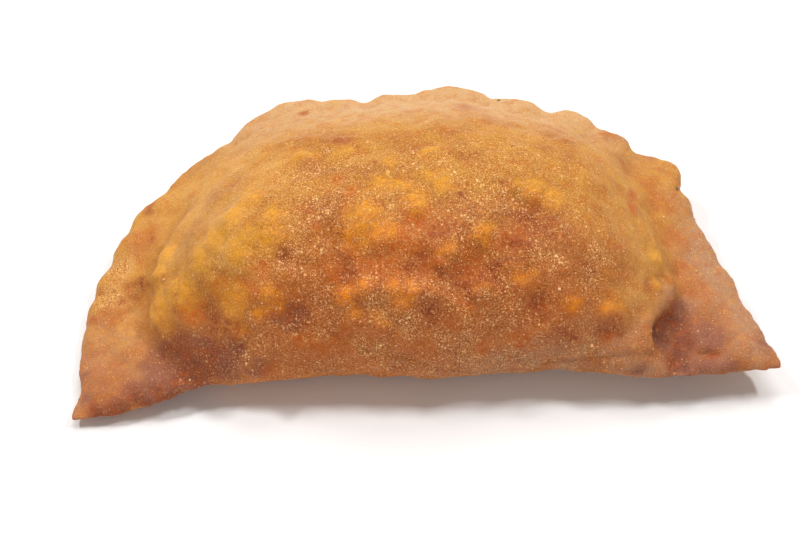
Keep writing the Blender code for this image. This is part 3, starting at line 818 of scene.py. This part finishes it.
def tone_masks(points, tree):
    """Where the tones of the crust are, with ragged outlines."""
    warp = sum(
        np.column_stack([noise_at(points, breadth * MM, seed) for seed in seeds]) * reach * MM
        for breadth, reach, seeds in WANDERS
    )
    warped = points + warp
    masks = {name: patches(warped, tree, places) for name, places in TONES.items()}
    masks["spot"] = patches(points + SPOT_WANDER * warp, tree, SPOTS)
    x, y, z = warped.T
    ends = LEFT_END_SHIFT * MM * fall(x, LEFT_END_SPAN) + RIGHT_END_SHIFT * MM * rise(x, RIGHT_END_SPAN)
    # The front zone is partly painted shade where the dough turns down and away from the light.
    masks["front"] = fall(y + FRONT_LEAN * z + ends, FRONT_SPAN)
    # Paler at the back: partly the sealed edge's own tone and partly painted highlight from the light
    # behind.
    masks["pale"] = rise(y, PALE_BACK_SPAN) * fall(np.abs(x), PALE_SIDE_SPAN)
    right = rise(x, DUSTY_RIGHT_SPAN) * fall(y, DUSTY_RIGHT_BACK_SPAN)
    left = DUSTY_LEFT_SHARE * rise(-x, DUSTY_LEFT_SPAN) * fall(y, DUSTY_LEFT_BACK_SPAN)
    # The pink at the foot of the front is partly painted reflection of the bright floor.
    foot = PINK_REFLECTION_FOOT_SHARE * rise(x, PINK_REFLECTION_FOOT_SPAN) * fall(z, PINK_REFLECTION_FOOT_TOP_SPAN)
    foot *= y < PINK_REFLECTION_FOOT_BACK * MM
    masks["pink_and_reflection"] = np.maximum(np.maximum(right, left), foot)
    middle = fall(np.abs(points[:, 0] - GRAIN_MIDDLE * MM), GRAIN_SIDE_SPAN)
    masks["grain"] = GRAIN_LEAST + GRAIN_ON_FRONT * middle * fall(points[:, 1], GRAIN_BACK_SPAN)
    masks["grain"] += GRAIN_WHERE_SANDY * masks["sandy"]
    masks["grain"] *= 1.0 - GRAIN_LOSS * np.maximum(masks["amber"], masks["russet"])
    return masks


class PANZEROTTO_OT_crust(bpy.types.Operator):
    """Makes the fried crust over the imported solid"""

    bl_idname = "panzerotto.crust"
    bl_label = "Fry the crust"

    def execute(self, context):
        look = context.scene.panzerotto_crust
        piece = merged_copy("fried_crust")
        apply_modifier(piece, "REMESH", mode="VOXEL", voxel_size=look.step)
        mesh = piece.data
        edges = edges_of(mesh)
        place(mesh, softened(points_of(mesh), edges))

        points, normals, tree = surface_of(mesh)
        masks = tone_masks(points, tree)
        points = points + normals * relief(points, tree, look)[:, None]
        points[:, 2] = np.maximum(points[:, 2], 0.0)
        place(mesh, points)

        # The hollows get painted shade: the further the surface lies behind its evened form, the darker it
        # is tinted.
        bulge = ((points - evened(points, edges, BULGE_PASSES)) * normals_of(mesh)).sum(axis=1)
        masks["hollow_shade"] = rise(-bulge, HOLLOW_SPAN)
        sides = rise(np.abs(points[:, 0]), EDGE_SIDE_SPAN)
        edge = rise(bulge, EDGE_SPAN) * (EDGE_LEAST + (1.0 - EDGE_LEAST) * sides)
        masks["spot"] = np.maximum(masks["spot"], EDGE_SHARE * edge)
        for name, channels in ATTRIBUTES.items():
            attribute = mesh.attributes.new(name, "FLOAT_COLOR", "POINT")
            attribute.data.foreach_set("color", np.column_stack([masks[one] for one in channels]).ravel())

        mesh.shade_smooth()
        make_mottle_group()
        make_grain_group()
        mesh.materials.append(crust_material(look))
        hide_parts(NODE)
        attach(piece, BODY)
        return {"FINISHED"}


def flattened_ball(detail, shape):
    """A ball with this many subdivisions, scaled to the shape."""
    bpy.ops.object.select_all(action="DESELECT")
    bpy.ops.mesh.primitive_ico_sphere_add(subdivisions=detail, radius=1.0)
    ball = bpy.context.object
    ball.scale = shape
    bpy.ops.object.transform_apply(location=False, rotation=False, scale=True)
    return ball


def strew(pattern, spots, name):
    """Turns the pattern into one mesh with a copy at each spot: where it is, how large, and its turn."""
    shape = points_of(pattern.data)
    corners = np.array([face.vertices[:] for face in pattern.data.polygons])
    points = [shape * size @ np.array(turn.to_matrix()).T + middle for middle, size, turn in spots]
    faces = [corners + number * len(shape) for number in range(len(spots))]
    bpy.data.objects.remove(pattern)
    mesh = bpy.data.meshes.new(name)
    mesh.from_pydata(np.concatenate(points).tolist(), [], np.concatenate(faces).tolist())
    mesh.shade_smooth()
    piece = bpy.data.objects.new(name, mesh)
    bpy.context.scene.collection.objects.link(piece)
    return piece


class PANZEROTTO_OT_grains(bpy.types.Operator):
    """Strews the semolina grains that stick to the crust"""

    bl_idname = "panzerotto.grains"
    bl_label = "Strew the grains"

    def execute(self, context):
        look = context.scene.panzerotto_grains
        mesh = bpy.data.objects["fried_crust"].data
        points, normals, tree = surface_of(mesh)
        draw = np.random.default_rng(GRAIN_SEED)

        form = np.empty(len(points) * 4)
        mesh.attributes["form"].data.foreach_get("color", form)
        density = form.reshape(-1, 4)[:, ATTRIBUTES["form"].index("grain")]
        chance = density ** 2 * (points[:, 2] > LOWEST_GRAIN * MM)
        strewn = draw.choice(len(points), look.count, replace=False, p=chance / chance.sum())
        sizes = list(look.size * draw.uniform(*FINE_SIZES, look.count))
        seam = np.array(SEAM) * MM
        along = draw.uniform(0, len(seam) - 1, look.on_seam)
        knots = np.arange(len(seam))
        row = np.column_stack([np.interp(along, knots, seam[:, axis]) for axis in range(3)])
        row += draw.normal(0.0, SEAM_SPREAD * MM, row.shape)
        near = [tree.find(spot)[1] for spot in (*row, *(np.array(LARGE_GRAINS) * MM))]
        sizes += list(look.size * draw.uniform(*SEAM_SIZES, look.on_seam))
        sizes += list(look.size * draw.uniform(*LARGE_SIZES, len(LARGE_GRAINS)))

        spots = []
        for index, size in zip((*strewn, *near), sizes):
            spin = Quaternion((0, 0, 1), draw.uniform(0, math.tau))
            middle = points[index] + normals[index] * size * GRAIN_LIFT
            spots.append((middle, size, upright(normals[index]) @ spin))
        piece = strew(flattened_ball(1, GRAIN_SHAPE), spots, "semolina_grains")
        piece.data.materials.append(speckled_material("semolina", look.flour, look.flour_dark, 0.5))
        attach(piece, BODY)
        return {"FINISHED"}


class PANZEROTTO_OT_herbs(bpy.types.Operator):
    """Sticks two small flecks of herb to the sealed edge"""

    bl_idname = "panzerotto.herbs"
    bl_label = "Add the herb flecks"

    def execute(self, context):
        look = context.scene.panzerotto_grains
        points, normals, tree = surface_of(bpy.data.objects["fried_crust"].data)
        pattern = flattened_ball(2, LEAF_SHAPE)
        leaf = points_of(pattern.data)
        leaf[:, 2] += LEAF_CURL * leaf[:, 0] ** 2 - LEAF_LEAN * leaf[:, 1]
        place(pattern.data, leaf)
        spots = []
        for x, y, z, size in HERB_FLECKS:
            index = tree.find((x * MM, y * MM, z * MM))[1]
            middle = points[index] + normals[index] * LEAF_LIFT * MM
            spots.append((middle, size * MM, upright(normals[index])))
        piece = strew(pattern, spots, "herb_flecks")
        piece.data.materials.append(speckled_material("herb", look.herb, look.herb_dark, 0.6))
        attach(piece, BODY)
        return {"FINISHED"}


def add_lamp(name, location, size, power):
    """A soft lamp, this wide and long, that shines on the pastry."""
    bpy.ops.object.light_add(type="AREA", location=location)
    lamp = bpy.context.object
    lamp.name = name
    lamp.data.shape = "RECTANGLE"
    lamp.data.size, lamp.data.size_y = size
    lamp.data.energy = power
    lamp.rotation_euler = (-lamp.location).to_track_quat("-Z", "Y").to_euler()


class PANZEROTTO_OT_stage(bpy.types.Operator):
    """Sets the floor, the light and the camera"""

    bl_idname = "panzerotto.stage"
    bl_label = "Set the stage"

    def execute(self, context):
        look = context.scene.panzerotto_stage
        bpy.ops.object.select_all(action="DESELECT")
        bpy.ops.mesh.primitive_plane_add(size=FLOOR_SIZE)
        floor = context.object
        floor.name = "floor"
        floor.data.materials.append(floor_material(look))

        for name, location, size, power in LAMPS:
            add_lamp(name, location, size, getattr(look, power))
        world = bpy.data.worlds.new("pale room")
        world.use_nodes = True
        world.node_tree.nodes["Background"].inputs["Strength"].default_value = look.fill
        world.node_tree.nodes["Background"].inputs["Color"].default_value = look.fill_color
        context.scene.world = world
        context.scene.view_settings.view_transform = "Standard"

        back = Vector((0, -math.cos(look.elevation), math.sin(look.elevation))) * look.distance
        bpy.ops.object.camera_add(location=Vector(TARGET) + back)
        camera = context.object
        camera.rotation_euler = (-back).to_track_quat("-Z", "Y").to_euler()
        camera.data.lens = LENS
        camera.data.shift_x = SHIFT
        camera.data.clip_start = NEAREST
        context.scene.camera = camera
        return {"FINISHED"}


class PANZEROTTO_PT_panel(bpy.types.Panel):
    """The sidebar's list of settings and steps"""

    bl_idname = "PANZEROTTO_PT_panel"
    bl_label = "Panzerotto"
    bl_space_type = "VIEW_3D"
    bl_region_type = "UI"
    bl_category = "Panzerotto"

    def draw(self, context):
        scene = context.scene
        for settings in (scene.panzerotto_crust, scene.panzerotto_grains, scene.panzerotto_stage):
            box = self.layout.box()
            for name in settings.bl_rna.properties.keys():
                if name not in {"name", "rna_type"}:
                    box.prop(settings, name)
        for step in STEPS:
            self.layout.operator(step.bl_idname)


SETTINGS = {
    "panzerotto_crust": PanzerottoCrust,
    "panzerotto_grains": PanzerottoGrains,
    "panzerotto_stage": PanzerottoStage,
}
STEPS = (PANZEROTTO_OT_crust, PANZEROTTO_OT_grains, PANZEROTTO_OT_herbs, PANZEROTTO_OT_stage)
CLASSES = (*SETTINGS.values(), *STEPS, PANZEROTTO_PT_panel)


def register():
    for kind in CLASSES:
        bpy.utils.register_class(kind)
    for name, kind in SETTINGS.items():
        setattr(bpy.types.Scene, name, bpy.props.PointerProperty(type=kind))


def unregister():
    for name in SETTINGS:
        delattr(bpy.types.Scene, name)
    for kind in reversed(CLASSES):
        bpy.utils.unregister_class(kind)


def main():
    register()
    bpy.ops.panzerotto.crust()
    bpy.ops.panzerotto.grains()
    bpy.ops.panzerotto.herbs()
    bpy.ops.panzerotto.stage()


if __name__ == "__main__":
    main()
